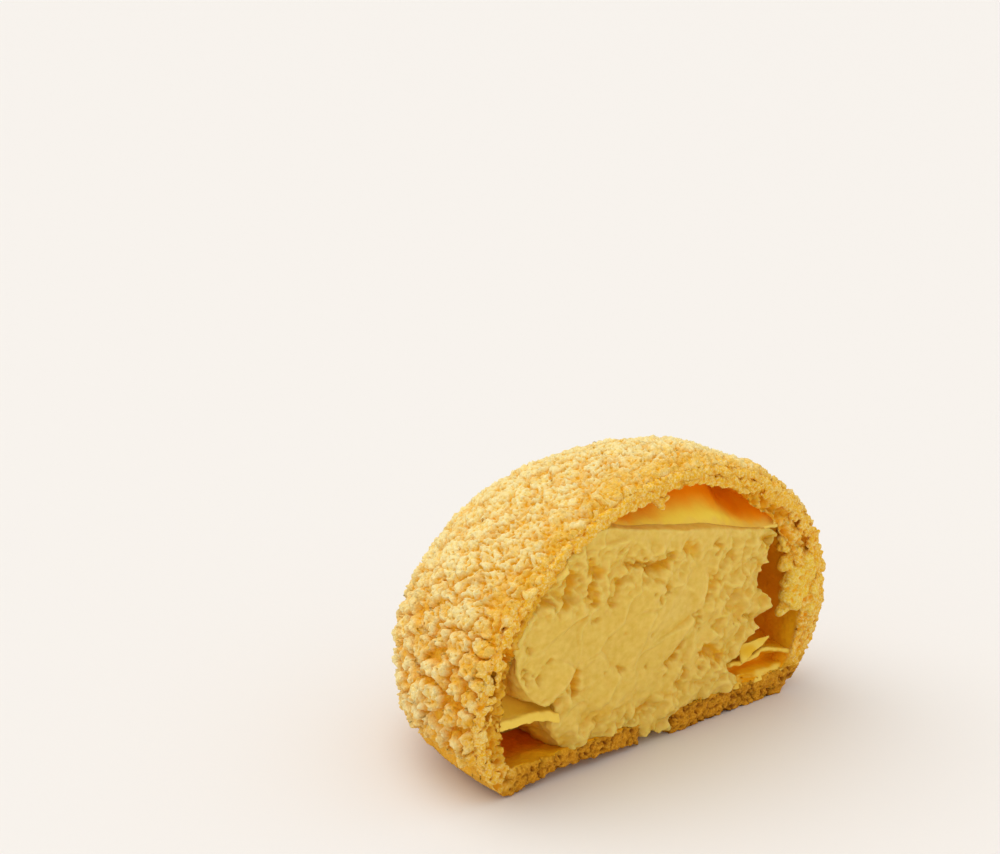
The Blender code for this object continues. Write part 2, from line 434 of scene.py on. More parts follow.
def chouxMaterial():
    material, tree, shader = newMaterial("bakedChoux", 0.55, 0.1)
    grain, sand = grainNode(tree, 1300), grainNode(tree, 2600)
    colour = speckle(tree, grain, 0.35, 0.65, (0.72, 0.35, 0.012), (0.84, 0.46, 0.035))
    colour = tint(tree, colour, "skin", (1.0, 0.52, 0.012))
    # Painted shade: darker and redder deeper in the hollow
    colour = tint(tree, colour, "deep", (0.97, 0.22, 0.002))
    crumb = speckle(tree, sand, 0.42, 0.66, (0.91, 0.50, 0.025), (0.98, 0.76, 0.27))
    crumb = tint(tree, crumb, "toast", (0.86, 0.43, 0.012), most=0.6)
    # Painted shade in the dips and hollows of the torn crumb
    crumb = tint(tree, crumb, "torn", (0.90, 0.37, 0.003), 0.25, 0.85, 0.9)
    # Wet crumb, with painted shade in its dips
    wet = tint(tree, (0.72, 0.36, 0.006), "torn", (0.58, 0.22, 0.001), 0.3, 0.75)
    crumb = tint(tree, crumb, "wet", wet, most=0.7)
    # Painted shade in the pores and bowls of air
    crumb = tint(tree, crumb, "recessShade", (0.84, 0.37, 0.004), 0.1, 0.8, 0.85)
    colour = tint(tree, colour, "crumb", crumb)
    base = speckle(tree, sand, 0.42, 0.66, (0.57, 0.22, 0.003), (0.82, 0.41, 0.028))
    # Painted shade in the dips of the base crumb
    base = tint(tree, base, "torn", (0.34, 0.11, 0.002), 0.4, 0.95)
    colour = tint(tree, colour, "base", base)
    finishShader(tree, shader, colour, grain, 0.4, 0.00025)
    return material


def custardMaterial():
    material, tree, shader = newMaterial("vanillaCustard", 0.42, 0.3)
    shader.inputs["Subsurface Weight"].default_value = 0.4
    shader.inputs["Subsurface Radius"].default_value = (1.0, 0.65, 0.2)
    shader.inputs["Subsurface Scale"].default_value = 0.002
    grain = grainNode(tree, 800, 0.5)
    colour = speckle(tree, grain, 0.3, 0.7, (0.745, 0.485, 0.058), (0.85, 0.595, 0.115))
    # Painted highlight on the crests
    colour = tint(tree, colour, "ridgeHighlight", (0.90, 0.68, 0.19), most=0.35)
    # Painted shade in the creases, pits and hollows, and on the sides set back from the cut
    colour = tint(tree, colour, "pit", (0.84, 0.46, 0.012), most=0.85)
    finishShader(tree, shader, colour, grain, 0.15, 0.0003)
    return material


def skinMaterial(name, pale, deep, edge):
    material, tree, shader = newMaterial(name, 0.4, 0.2)
    # Painted shade: the deep colour, darker and redder deeper in the hollow
    colour = tint(tree, tint(tree, pale, "deep", deep), "edge", edge)
    finishShader(tree, shader, colour, grainNode(tree, 900, 0.5), 0.2, 0.0002)
    return material


def crumbMaterial(name, pale, dark, hollow):
    material, tree, shader = newMaterial(name, 0.6, 0.08)
    grain = grainNode(tree, 2400)
    # Painted shade in the hollows and on grains set back behind the cut
    colour = tint(tree, speckle(tree, grain, 0.42, 0.68, dark, pale), "recessShade", hollow, most=0.95)
    finishShader(tree, shader, colour, grain, 0.6, 0.0003)
    return material


craquelinSugar = craquelinMaterial()
bakedChoux = chouxMaterial()
vanillaCustard = custardMaterial()
roofMembrane = skinMaterial("roofMembrane", (1.0, 0.80, 0.085), (0.99, 0.37, 0.003), (0.92, 0.66, 0.12))
wetInnerSkin = skinMaterial("wetInnerSkin", (0.87, 0.51, 0.014), (0.88, 0.36, 0.003), (0.94, 0.65, 0.09))
moistCrumb = crumbMaterial("moistCrumb", (0.98, 0.78, 0.25), (0.94, 0.59, 0.04), (0.94, 0.42, 0.003))
sugarCrumb = crumbMaterial("sugarCrumb", (0.98, 0.78, 0.30), (0.92, 0.60, 0.12), (0.90, 0.40, 0.006))
toastedCrumb = crumbMaterial("toastedCrumb", (0.99, 0.76, 0.26), (0.92, 0.49, 0.015), (0.88, 0.33, 0.001))
print("materials made")


# What the knife left. Bowls of air are x, z, half sizes across and up, tilt and depth, in millimetres
# and degrees.
section = {
    "bowls": [
        (-33.7, 25.4, 1.35, 2.2, 10, 1.2), (-36.2, 20.0, 1.05, 4.4, -4, 1.5),
        (-35.6, 10.6, 0.7, 1.8, 4, 0.9), (-37.4, 26.6, 0.7, 1.1, 0, 0.9), (-35.0, 6.6, 0.6, 1.0, 8, 0.7),
        (-34.6, 30.2, 0.6, 0.8, 0, 0.7), (24.9, 34.9, 1.3, 1.5, 30, 1.8), (20.6, 38.6, 1.0, 0.9, 0, 1.4),
        (30.5, 32.3, 1.1, 1.5, 40, 1.8), (26.9, 31.2, 0.8, 1.8, 50, 1.6), (33.6, 26.9, 1.2, 1.6, 20, 1.8),
        (35.6, 20.8, 0.8, 1.3, 0, 1.4), (15.5, 42.6, 0.9, 0.7, 20, 1.2), (28.0, 35.6, 0.7, 0.9, 35, 1.3),
        (22.6, 36.4, 0.6, 0.9, 20, 1.2), (8.6, 45.2, 0.7, 0.5, 10, 0.9), (-9.5, 45.2, 0.8, 0.6, 0, 0.9),
    ],
    "bowlsLeft": 1.1,  # how deep the bowls are made on each side
    "bowlsRight": 0.7,
    "grain": 0.95 * mm,
    "clump": 1.8 * mm,
}


def knifeWave(points):
    # How far the torn cut face strays from the cut, the same for every layer
    flat = points * [1, 0, 1]
    return 0.45 * mm * noiseAt(flat, 3.4, 40.0) + 0.2 * mm * noiseAt(flat, 1.3, 44.0)


def bowlDepth(points):
    # How deep the bowls of air lie behind the cut
    x, z = points[:, 0] / mm, points[:, 2] / mm
    depth = np.zeros(len(points))
    for left, up, halfX, halfZ, tilt, deep in section["bowls"]:
        turn = radians(tilt)
        across = ((x - left) * cos(turn) + (z - up) * sin(turn)) / halfX
        along = ((z - up) * cos(turn) - (x - left) * sin(turn)) / halfZ
        depth = np.maximum(depth, deep * mm * (1 - ramp(0.45, 1.25, np.hypot(across, along))))
    return depth * np.where(x > 0, section["bowlsRight"], section["bowlsLeft"])


def crumbRelief(points):
    # Torn crumb: how far it stands out, about -1 to 1
    spots = points + driftAt(points, 1.2, 0.4, 150.0)
    grain = domeOn(cellsAt(spots, section["grain"], 22.0), 0.6 * section["grain"], -0.6)
    clumps = cellsAt(spots, section["clump"], 25.0)
    clump = domeOn(clumps, 0.65 * section["clump"], -0.5) + 1.4 * (clumps["tone"] - 0.5)
    return 0.5 * grain + 0.55 * clump + 0.3 * noiseAt(points, 0.5, 28.0)


# The craquelin crust, in two pieces that overlap a little at the parting
crust = {
    "voxel": voxelSize(0.28),
    "parting": 13 * mm,
    "overlap": 0.6 * mm,
    "edgeHeight": 7.2 * mm,
    "edgeWave": 1.6 * mm,
    "edgeRagged": 1.6 * mm,
    "skirt": 3.2 * mm,  # how far the crust runs on below its edge, sunk into the wall
    "skirtSink": 2.2 * mm,
    "cutRounding": 0.7 * mm,
    "tornHeight": 0.34 * mm,
    "plateSize": 4.5 * mm,
    "plateDepth": 1.45 * mm,
    "clumpSize": 2.1 * mm,
    "clumpHeight": 0.44 * mm,
    "beadSize": 0.8 * mm,
    "beadHeight": 0.31 * mm,
    "fineHeight": 0.24 * mm,
    "most": 190000,
}


def crustEdge(points):
    # How high the ragged lower edge of the crust lies, all round
    around = points * [1, 1, 0]
    around /= np.linalg.norm(around, axis=1, keepdims=True) + 1e-9
    ragged = noiseAt(points, 3, 9.0) + 0.5 * noiseAt(points, 1.2, 19.0)
    return crust["edgeHeight"] + crust["edgeWave"] * noiseAt(around, 400) + crust["edgeRagged"] * ragged


def crustRelief(points, low):
    # Height, crack mask and tone of the craquelin at these points; low is 1 near the foot. The crack mask
    # also holds painted shade between the clumps, and the tone a painted highlight on the clump tops
    warp = driftAt(points, 2.8, 1.1) + driftAt(points, 1.1, 0.55, 5.0)
    spots = points + warp + driftAt(points, 0.5, 0.22, 15.0)
    plates = cellsAt(spots, crust["plateSize"])
    clumps = cellsAt(spots, crust["clumpSize"], 4.0)
    beads = cellsAt(points + warp * 0.4, crust["beadSize"], 8.0)
    opened = (0.1 + 0.8 * noiseAt(points, 10, 3.0) + 0.25 * low).clip(0, 1.2) * mm
    crack = 1 - between(0, 0.7, plates["gap"] - 0.5 * opened)
    clump = domeOn(clumps, 0.62 * crust["clumpSize"], -0.5)
    height = (
        0.5 * mm * noiseAt(points, 8, 6.0)
        + 0.3 * mm * noiseAt(spots, 3.3, 16.0)
        + 0.5 * mm * (plates["tone"] - 0.5)
        + 0.4 * mm * (clumps["tone"] - 0.5)
        + crust["clumpHeight"] * clump * (0.6 + 0.7 * low)
        + crust["beadHeight"] * domeOn(beads, 0.58 * crust["beadSize"], -0.6)
        + crust["fineHeight"] * noiseAt(points, 0.5, 11.0)
        - crust["plateDepth"] * crack * (0.35 + 0.9 * low)
    )
    # Painted shade in the dips between the clumps
    dip = 0.5 * (1 - clump).clip(0, 1.3)
    tone = 0.35 * clumps["tone"] + 0.3 * beads["tone"] + 0.35 * (0.5 + 0.5 * clump)
    return height, np.maximum(crack, dip) * (0.5 + 0.5 * low), tone


def makeCrustPiece(thing, name):
    remesh(thing, crust["voxel"])
    points, normals = readPoints(thing), readNormals(thing)
    depth, behind = depthUnder(points), behindCut(points)
    outer = 1 - between(0.5, 1.2, depth)
    face = 1 - between(0.25, 1.0, behind)
    hidden = (outer == 0) & (face == 0)
    live = np.flatnonzero(~hidden)
    spots, skirt, cut = points[live], outer[live], face[live]
    low = 1 - between(14, 38, spots[:, 2])
    height, crack, tone = crustRelief(spots, low)
    torn = crumbRelief(spots)
    fade = between(-0.5, 0.8, spots[:, 2] - crustEdge(spots))
    height = height * fade - (1 - fade) * crust["skirtSink"]
    corner = (1 - between(0, 1.6, behind[live])) ** 2 * (1 - between(0, 1.4, depth[live]))
    lift = height * skirt * (1 - 0.4 * cut) + torn * crust["tornHeight"] * cut
    lift -= crust["cutRounding"] * corner
    moved = points.copy()
    moved[live] += normals[live] * lift[:, None]
    moved[live, 1] += (knifeWave(spots) + bowlDepth(spots)) * cut
    writePoints(thing, moved)
    # Colour masks: dark in the cracks, painted shade in the hollows and the dips of the torn crumb,
    # painted highlight on the crests, and painted warm shade by the cut, at mid height and by the foot
    sunk = hollowAt(thing)[live] / mm
    # The cracks, and painted shade in the hollows
    deep = np.maximum(crack * fade, ramp(0.02, 0.22, sunk)) * skirt * (1 - cut)
    # Painted shade, warm and darker: near the cut, in a band at mid height and by the foot
    close = 1 - between(1.5, 11, behind[live] + 1.5 * mm * noiseAt(spots, 3, 50.0))
    close *= 1 - ramp(-0.2, 0.5, noiseAt(spots, 2.6, 55.0)) * 0.75
    middle = 0.35 * np.exp(-((spots[:, 2] / mm - 25) / 8) ** 2)
    foot = 0.9 * (1 - between(6, 14, spots[:, 2]))
    masks = emptyMasks(points, "crack", "tone", "torn", "warmShade")
    masks["crack"][live] = np.maximum(deep, 0.6 * (1 - fade))
    # Random tone, with a painted highlight on the crests
    masks["tone"][live] = tone + 0.5 * ramp(0, 0.12, -sunk) - 0.15
    # Painted shade in the dips of the torn crumb and in the hollows
    masks["torn"][live] = np.maximum(0.4 - 0.5 * torn, ramp(0.02, 0.18, sunk))
    masks["warmShade"][live] = np.maximum(np.maximum(close, middle), foot)
    storeMasks(thing, {**masks, "cut": face})
    thinOut(thing, hidden, crust["most"])
    finishPiece(thing, name, craquelinSugar, "craquelin_topping")


def makeCrust():
    front = addForm("crustBlank", bunPoints)
    carve(front, addForm("crustRoom", lambda d: bunPoints(d, bun["crustThickness"])))
    cutHalf(front)
    bisectMesh(front, (0, 0, crust["edgeHeight"] - crust["skirt"]), (0, 0, -1))
    back = copyOf(front, "crustBack")
    bisectMesh(front, (0, crust["parting"] + crust["overlap"] / 2, 0), (0, 1, 0))
    bisectMesh(back, (0, crust["parting"] - crust["overlap"] / 2, 0), (0, -1, 0))
    makeCrustPiece(front, "craquelin_front")
    makeCrustPiece(back, "craquelin_back")


makeCrust()

# The choux shell. The baked underside is hollowed and broken through by two blobs, and the ceiling has
# an arch beside the cut.
shell = {
    "voxel": voxelSize(0.34),
    "intoCrust": 0.3 * mm,
    "underArch": (-16 * mm, -1 * mm, (15 * mm, 5.2 * mm, 2.7 * mm)),
    "baseGap": (1.2 * mm, 2.2 * mm, (3.9 * mm, 4.5 * mm, 5.0 * mm)),
    "archMiddle": 6.5 * mm,
    "archHalf": 6.5 * mm,
    "archRise": 1.3 * mm,
    "most": 190000,
}


def spongeDepth(points):
    # How deep the crumb opens behind the cut, and where its pores are, which get painted shade
    x, z = points[:, 0] / mm, points[:, 2] / mm
    shoulder = ramp(10, 18, x) * ramp(7, 12, z)
    base = 1 - ramp(4.5, 6.5, z)
    ceiling = ramp(30, 38, z) * (1 - shoulder)
    left = (1 - ramp(-33, -30, x)) * ramp(5, 8, z) * (1 - ceiling)
    flat = points * [1, 0, 1]
    bent = flat + driftAt(flat, 1.6, 0.6, 60.0)
    cells = cellsAt(bent, 1.9 * mm, 2.0)
    large = between(0.15, 0.5, cells["gap"]) * ramp(0.4, 0.5, cells["tone"])
    cells = cellsAt(bent, 1.0 * mm, 12.0)
    small = between(0.08, 0.3, cells["gap"]) * ramp(0.3, 0.5, cells["tone"])
    depth = mm * (shoulder * (0.95 * large + 0.4 * small) + base * 0.8 * small + ceiling * 0.6 * small
                  + left * (0.8 * large + 0.6 * small))
    return depth, shoulder * np.maximum(large, 0.4 * small) + (base + ceiling + left) * 0.6 * small


def makeShell():
    thing = addForm("shellBlank", lambda d: bunPoints(d, bun["crustThickness"] - shell["intoCrust"]))
    carve(thing, addForm("hollowRoom", hollowPoints))
    carve(thing, addBlob("underArch", *shell["underArch"]))
    carve(thing, addBlob("baseGap", *shell["baseGap"]))
    cutHalf(thing)
    remesh(thing, shell["voxel"])
    points, normals = readPoints(thing), readNormals(thing)
    depth, behind = depthUnder(points), behindCut(points)
    # Where a point lies, and what nobody sees
    face = (1 - between(0.3, 0.9, behind)) * ramp(0.2, 0.7, -normals[:, 1])
    outside = 1 - between(2.0, 2.6, depth)
    bottom = 1 - between(0.2, 0.5, points[:, 2])
    inside = (1 - outside) * (1 - face) * (1 - bottom)
    covered = (outside > 0.9) & (points[:, 2] > 10 * mm) & (behind > 1.2 * mm)
    filled = (inside > 0.5) & (behind > 14 * mm)
    hidden = covered | filled | ((points[:, 2] < 0.2 * mm) & (behind > 4 * mm))
    # Relief of the inner and outer walls, then of the torn crumb at the cut
    swell = noiseAt(points, 5, 2.0)
    wrinkle = noiseAt(points + driftAt(points, 4, 2), 2.4, 8.0)
    grains = noiseAt(points, 0.8, 7.0)
    lift = (swell * 0.5 + wrinkle * 0.22 + grains * 0.05) * mm * inside
    lift += (swell * 0.35 + grains * 0.08) * mm * outside * (1 - face)
    live = np.flatnonzero(behind < 1.2 * mm)
    spots, cut = points[live], face[live]
    torn, bowls, (sponge, recessShade) = crumbRelief(spots), bowlDepth(spots), spongeDepth(spots)
    x, z = spots[:, 0] / mm, spots[:, 2] / mm
    wet = (1 - ramp(-29, -24, x)) * (1 - ramp(33, 38, z)) * ramp(5, 8, z)
    near = 1 - between(0.3, 1.2, behind[live])
    lift[live] += torn * (0.36 + 0.1 * wet + 0.2 * ramp(24, 30, z)) * mm * near
    moved = points + normals * lift[:, None]
    moved[live, 1] += knifeWave(spots) * near + (sponge + bowls) * cut
    arch = np.exp(-((points[:, 0] - shell["archMiddle"]) / shell["archHalf"]) ** 2)
    arch *= between(38, 42, points[:, 2]) * between(2.0, 3.6, depth)
    moved[:, 2] += shell["archRise"] * arch * (1 - between(0, 9, behind))
    moved[:, 2] = moved[:, 2].clip(0)
    writePoints(thing, moved)
    # Colour masks: painted shade in the dips and hollows of the torn crumb, in the pores and bowls of air,
    # and deeper in the hollow behind the cut
    masks = emptyMasks(points, "torn", "wet", "recessShade", "toast")
    # Painted shade in the dips and hollows of the torn crumb
    masks["torn"][live] = np.maximum(0.4 - 0.5 * torn, ramp(0.0, 0.15, hollowAt(thing)[live] / mm))
    masks["wet"][live] = wet
    # Painted shade in the pores and bowls of air
    masks["recessShade"][live] = np.maximum(recessShade, bowls / mm) * cut
    masks["toast"][live] = ramp(30, 40, z) * ramp(-0.4, 0.5, noiseAt(spots, 2.5, 160.0) + 0.3)
    rightSide = between(0, 15, points[:, 0])
    corner = (1 - between(-34, -28, points[:, 0])) * between(0.5, 2, points[:, 2])
    raised = np.maximum(between(5, 8, points[:, 2]), corner)
    storeMasks(thing, {
        **masks,
        "skin": inside,
        # Painted shade, darker and redder deeper in the hollow behind the cut
        "deep": inside * between(1.5, 8, behind + 1.5 * mm * swell) * (1 - 0.5 * rightSide),
        "crumb": (1 - between(0.2, 1.2, behind)) * raised,
        "base": (1 - between(3.5, 5.5, points[:, 2])) * (1 - inside) * (1 - 0.9 * corner),
    })
    thinOut(thing, hidden, shell["most"])
    finishPiece(thing, "choux_wall", bakedChoux, "choux_shell")


makeShell()

# The custard. The outline that the knife left is in millimetres along the cut and up. A crease is a line
# of such points, with its half width and depth.
custard = {
    "voxel": voxelSize(0.32),
    "outline": [
        (25.6, 31.6), (24.9, 29.2), (22.7, 26.0), (22.2, 23.6), (23.0, 21.8), (25.7, 19.4), (25.2, 17.6),
        (23.9, 16.5), (22.8, 15.8), (23.3, 14.6), (22.0, 13.2), (20.9, 11.6), (18.5, 10.4), (16.6, 9.6),
        (15.7, 8.6), (18.2, 7.4), (19.8, 6.0), (18.4, 4.6), (15.0, 4.0), (11.8, 4.2), (7.0, 3.8),
        (-4.4, 3.8), (-15.2, 3.8), (-18.6, 4.0), (-20.6, 6.2), (-22.4, 8.6), (-23.0, 10.6), (-21.4, 13.6),
        (-25.1, 14.2), (-28.4, 16.4), (-31.0, 21.0), (-32.0, 24.5), (-33.4, 27.6), (-34.0, 31.0),
        (-31.4, 35.0), (-27.7, 38.4), (-24.4, 41.0), (-19.8, 43.4), (-16.0, 43.6), (-11.7, 42.6),
        (-0.3, 39.6), (8.6, 37.2), (17.3, 34.2), (23.0, 32.8),
    ],
    "outlineDeep": 0.022,
    "drip": [(-3.2, 6.0), (-3.3, 3.9), (-2.4, 2.3), (-1.4, 1.3), (-0.4, 1.9), (0.6, 2.2), (1.6, 1.1),
             (2.6, 0.7), (3.7, 0.8), (4.5, 1.5), (4.2, 3.0), (4.8, 6.0)],
    "dripDeep": 0.005,
    "reach": 12 * mm,  # behind this the filling is whole
    "carved": 13 * mm,
    "creases": [
        ([(-17.7, 37.0), (-16.8, 35.9), (-16.0, 34.7)], 0.8, 1.6),
        ([(-11.7, 32.2), (-10.7, 32.9), (-9.6, 34.8), (-7.0, 34.5), (-3.7, 32.6), (-1.7, 32.9),
          (-0.3, 34.2)], 0.65, 1.8),
        ([(-11.7, 31.3), (-12.0, 30.0)], 0.5, 1.0), ([(3.4, 35.0), (5.4, 33.5)], 1.1, 1.3),
        ([(10.7, 33.1), (10.8, 31.9)], 0.6, 1.1), ([(13.5, 30.8), (14.5, 29.9)], 0.6, 1.0),
        ([(20.2, 28.4), (22.9, 25.6)], 0.6, 0.9), ([(23.4, 31.5), (24.3, 30.3)], 1.2, 2.6),
        ([(-12.5, 29.4), (-12.7, 28.4)], 0.55, 1.1), ([(-1.1, 28.9), (-0.6, 27.8)], 0.55, 1.1),
        ([(-2.3, 26.8), (-1.9, 27.1)], 0.5, 0.9), ([(10.6, 27.3), (9.8, 25.7), (9.1, 24.2)], 0.45, 1.1),
        ([(10.4, 27.3), (11.3, 26.8)], 0.6, 1.1), ([(6.7, 22.3), (7.1, 20.8), (7.7, 19.3)], 0.4, 0.8),
        ([(4.2, 16.8), (3.5, 15.7), (1.9, 14.6)], 0.6, 1.6),
        ([(9.8, 14.6), (12.0, 13.5), (14.4, 11.8)], 0.9, 1.8),
        ([(5.4, 12.3), (5.8, 11.1), (5.4, 10.0)], 0.5, 1.2),
        ([(-4.5, 6.8), (-3.3, 6.8), (-1.9, 6.8)], 0.6, 1.2),
        ([(-6.8, 7.4), (-5.8, 5.9), (-4.6, 5.3)], 0.35, 0.9), ([(12.5, 10.6), (12.7, 10.4)], 0.5, 1.0),
        ([(9.6, 11.3), (9.8, 11.2)], 0.4, 0.8), ([(19.3, 17.6), (21.7, 16.7), (23.2, 16.5)], 0.4, 1.0),
        ([(-26.3, 36.0), (-26.7, 35.2), (-26.6, 33.8)], 0.9, 1.7),
        ([(-26.5, 32.5), (-24.9, 31.9)], 0.5, 1.2), ([(-28.5, 32.2), (-28.2, 31.9)], 0.5, 1.0),
        ([(-23.1, 36.1), (-21.1, 35.6), (-21.4, 34.2), (-22.0, 31.9)], 0.8, 1.9),
        ([(-17.0, 33.2), (-16.7, 31.8), (-16.2, 30.3)], 0.7, 1.5),
        ([(-15.8, 26.9), (-15.6, 26.7)], 0.4, 0.8),
        ([(-30.2, 32.1), (-32.3, 31.5), (-34.0, 30.3)], 0.8, 1.5),
        ([(-29.3, 25.1), (-29.1, 24.9)], 0.5, 1.0), ([(-29.9, 22.0), (-29.5, 21.4)], 0.35, 0.8),
        ([(-29.0, 20.4), (-28.6, 19.5)], 0.4, 0.9), ([(-27.1, 19.7), (-26.9, 18.9)], 0.4, 0.8),
        ([(-18.9, 18.1), (-19.0, 16.8), (-18.5, 15.0)], 0.8, 2.0),
        ([(-21.3, 14.4), (-22.2, 13.9), (-22.8, 13.1)], 0.5, 1.2),
        ([(-13.3, 8.5), (-13.1, 8.0)], 0.5, 0.9), ([(-9.5, 16.8), (-9.4, 16.2)], 0.5, 0.8),
    ],
    "most": 150000,
}

# The skin over the custard: its line along the cut, and how it climbs to the ceiling behind. The lists
# are millimetres along the cut, how far back it takes to climb, and how high up its painted shade starts.
roof = {
    "height": 37.9 * mm,
    "fall": -0.272,
    "rise": 8.5 * mm,
    "across": [-36, -22, -13, -8, -3, 3, 7, 10.5, 13, 16, 20, 23, 28],
    "reach": [6, 7, 9, 12, 11, 9.5, 8, 7, 7.5, 11, 11, 8, 5],
    # Where the painted shade starts, along the cut
    "shadeAcross": [-36, -14, -7, -2, 2, 8, 11, 12.5, 15, 18, 22, 25],
    "shadeFrom": [0.8, 1.1, 1.7, 2.6, 3.6, 4.5, 4.7, 4.1, 3.1, 2.4, 1.8, 2.0],
    "span": (-0.036, 0.0285),
    "back": 0.024,
    "setBack": 0.9 * mm,
    "sink": 0.35 * mm,
    "roomWide": 0.09,  # the room over the skin reaches out of the bun on all sides
    "roomTop": 0.055,
    "roomHigh": 0.06,
    "steps": (200, 130),
    "thickness": 0.8 * mm,
    "lip": 2.6 * mm,
}


def roofLine(x):
    return roof["height"] + roof["fall"] * x


def roofLevel(x, y):
    reach = np.interp(x / mm, roof["across"], roof["reach"]) * mm
    back = np.maximum(0.0, y - cutPlane(roof["height"]))
    flat = np.stack([x, y, x * 0], axis=1)
    wave = 0.45 * mm * noiseAt(flat, 5, 3.0) + 0.12 * mm * noiseAt(flat, 2.2, 6.0)
    return roofLine(x) + roof["rise"] * (back / reach).clip(0, 1.6) ** 1.25 + wave


def creaseDepth(x, z):
    # Depth of the creases at places given in millimetres
    depth = np.zeros(len(x))
    for line, half, deep in custard["creases"]:
        nearest = np.full(len(x), 1e9)
        for (x0, z0), (x1, z1) in zip(line, line[1:]):
            along = ((x - x0) * (x1 - x0) + (z - z0) * (z1 - z0)) / ((x1 - x0) ** 2 + (z1 - z0) ** 2)
            along = along.clip(0, 1)
            away = np.hypot(x - x0 - along * (x1 - x0), z - z0 - along * (z1 - z0))
            nearest = np.minimum(nearest, away)
        broad = 0.35 * deep * (1 - ramp(0, 4.5 * half, nearest))
        depth = np.maximum(depth, deep * 0.75 * (1 - ramp(0.2 * half, 1.6 * half, nearest)) + broad)
    return depth


def roundedOutline(outline, passes=2):
    points = np.array(outline)
    for step in range(passes):
        after = np.roll(points, -1, axis=0)
        pairs = [0.75 * points + 0.25 * after, 0.25 * points + 0.75 * after]
        points = np.stack(pairs, axis=1).reshape(-1, 2)
    return points.tolist()


def addOutline(name, outline, deep):
    # A closed outline in the cut, pulled back into the bun
    deselectAll()
    bpy.ops.mesh.primitive_circle_add(vertices=len(outline), radius=0.03, fill_type="NGON")
    thing = nameShape(name)
    writePoints(thing, np.array([(x * mm, cutPlane(z * mm), z * mm) for x, z in outline]))
    extrudeShut((0, deep, 0))
    return thing


def addRoofBlock():
    # The room above the inner skin, raised a little near the cut so that the skin's edge sinks in
    deselectAll()
    bpy.ops.mesh.primitive_grid_add(x_subdivisions=100, y_subdivisions=180, size=roof["roomWide"])
    thing = nameShape("roofBlock")
    points = readPoints(thing)
    x, y = points[:, 0], points[:, 1]
    near = 1 - between(0.8, 2.4, y - cutPlane(roofLine(x)))
    points[:, 2] = np.minimum(roof["roomTop"], roofLevel(x, y) + (0.05 + 0.5 * near) * mm)
    writePoints(thing, points)
    extrudeShut((0, 0, roof["roomHigh"]))
    return thing


def custardRelief(points):
    # How far the custard stands out of the cut, and where it is creased; the second also marks pits,
    # folds and dips between curds, for painted shade
    x, z = points[:, 0] / mm, points[:, 2] / mm
    flat = points * [1, 0, 1]
    wander = driftAt(flat, 5, 1.5, 70.0)
    right = ramp(6, 13, x + wander[:, 0] / mm)
    foot = 1 - ramp(8, 13, z + wander[:, 2] / mm)
    upper = ramp(28, 31, z) * (1 - ramp(34.5, 37, z + 0.25 * x)) * (1 - ramp(4, 8, x))
    lumpy = np.clip(right + foot + upper, 0, 1)
    # Broad strokes of the knife, each a little tilted against the next
    along, across = flat[:, 0] * 0.8 + flat[:, 2] * 0.6, flat[:, 2] * 0.8 - flat[:, 0] * 0.6
    turned = np.stack([along, flat[:, 1], across], axis=1)
    strokes = cellsAt((turned + wander) * [0.6, 1, 1], 6.5 * mm, 3.0)
    angle = strokes["tone"] * 2 * pi * 7
    tilt = strokes["away"][:, 0] * np.cos(angle) + strokes["away"][:, 2] * np.sin(angle)
    stroke = (tilt * 0.15 + (strokes["tone"] - 0.5) * 0.5 * mm) * between(0, 0.6, strokes["gap"])
    # Soft curds, with a fold where they meet, thin flakes and a few pits
    bent = flat + driftAt(flat, 3.5, 1.0, 80.0) + driftAt(flat, 1.2, 0.4, 85.0)
    curd, small = noiseAt(bent, 3.9, 170.0), noiseAt(bent, 1.9, 175.0)
    fine = noiseAt(bent, 0.9, 190.0)
    fold = 1 - ramp(0.0, 0.16, np.abs(noiseAt(bent, 4.6, 180.0)))
    fold *= ramp(-0.1, 0.25, noiseAt(flat, 5, 185.0))
    cells = cellsAt(bent, 2.8 * mm, 12.0)
    flake = (cells["tone"] - 0.5) * between(0, 0.5, cells["gap"])
    cells = cellsAt(bent, 1.7 * mm, 9.0)
    pit = (1 - between(0.15, 0.5, cells["near"])) * ramp(0.88, 0.94, cells["tone"])
    jagged = driftAt(flat, 1.0, 1.1, 90.0) / mm
    crease = creaseDepth(x + jagged[:, 0], z + jagged[:, 2])
    lift = (
        0.6 * mm * noiseAt(flat, 9, 1.0)
        + 0.25 * mm * noiseAt(flat, 3.5, 5.0)
        + (1 - lumpy) * stroke
        + lumpy * (1.2 * curd + 0.9 * small + 0.9 * flake - 0.5 * fold + 0.35 * fine) * mm
        - 0.6 * mm * pit
        - crease * mm
        + 0.05 * mm * noiseAt(flat, 0.8, 7.0) * (1 + 2 * lumpy)
    )
    bulge = 1.0 * mm * np.clip(1 - (x / 30) ** 2 - ((z - 22) / 22) ** 2, 0, 1)
    # Painted shade in the creases, pits, folds and the dips between curds
    creased = np.maximum(np.maximum(0.8 * pit, fold * lumpy * 0.5), ramp(0.3, 1.4, crease))
    return lift + bulge, np.maximum(creased, lumpy * ramp(0.2, 0.9, -curd) * 0.5)


